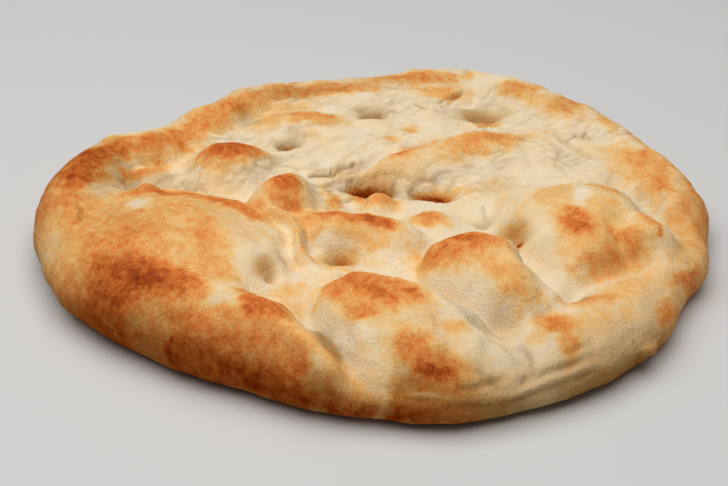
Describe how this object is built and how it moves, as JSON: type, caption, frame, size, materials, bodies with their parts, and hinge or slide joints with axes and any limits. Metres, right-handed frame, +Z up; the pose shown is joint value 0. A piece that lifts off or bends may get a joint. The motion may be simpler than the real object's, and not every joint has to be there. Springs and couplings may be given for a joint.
{
  "type": "flatbread",
  "caption": "Round leavened flatbread with a risen rim, soft pillows, finger marks and folds on top, and a flat base to rest on.",
  "frame": {"origin": "middle of the loaf's bounding box in plan, on the flat base it rests on", "axes": "+Z up; +X to the right and +Y away from the picture's camera, which looks along +Y"},
  "size_m": [0.3022, 0.301, 0.0377],
  "materials": {
    "baked_dough": "dull baked crust, pale cream dough in the hollows, gold to orange-brown on the raised parts"
  },
  "bodies": {
    "root": {"bread": "baked_dough"}
  },
  "joints": []
}
